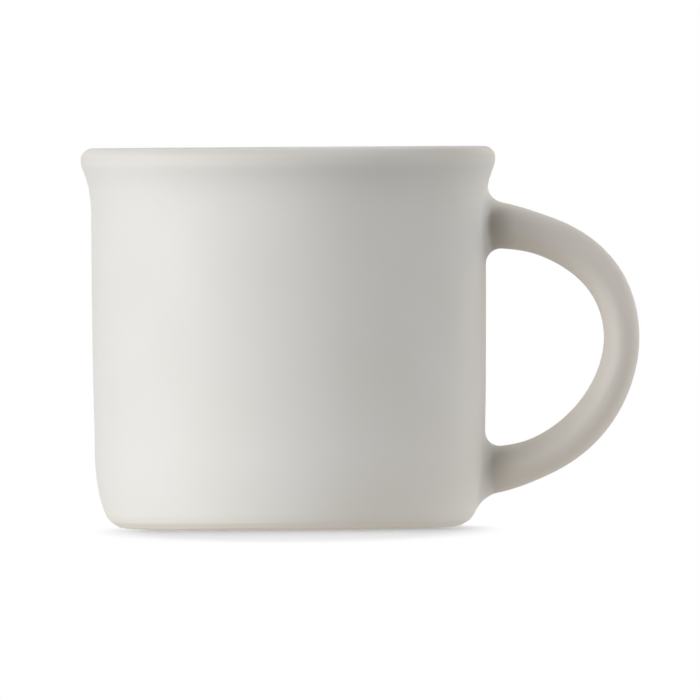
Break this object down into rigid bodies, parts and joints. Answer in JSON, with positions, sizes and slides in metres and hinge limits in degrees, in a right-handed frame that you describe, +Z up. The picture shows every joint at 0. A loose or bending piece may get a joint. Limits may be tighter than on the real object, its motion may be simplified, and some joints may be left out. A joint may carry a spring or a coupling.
{
  "type": "espresso cup",
  "caption": "Straight-sided stoneware espresso cup with a flared lip, a bare clay foot ring and a D-shaped handle luted to the wall, glazed off-white inside and out.",
  "frame": {"origin": "on the table plane under the middle of the whole outline, handle included; the cup's own axis stands 10.34 mm to -X of it", "axes": "+Z up along the cup's axis, +X from the cup towards the handle, +Y across the handle"},
  "size_m": [0.0806, 0.06, 0.055],
  "materials": {
    "bare_clay": "unglazed fired stoneware, fine grain",
    "joint_slip": "fired slip, unglazed",
    "satin_glaze": "satin to matt off-white glaze"
  },
  "bodies": {
    "root": {"cup_body": "bare_clay", "handle": "bare_clay", "upper_slip_joint": "joint_slip", "lower_slip_joint": "joint_slip", "outer_glaze": "satin_glaze", "inner_glaze": "satin_glaze", "handle_glaze": "satin_glaze"}
  },
  "joints": []
}
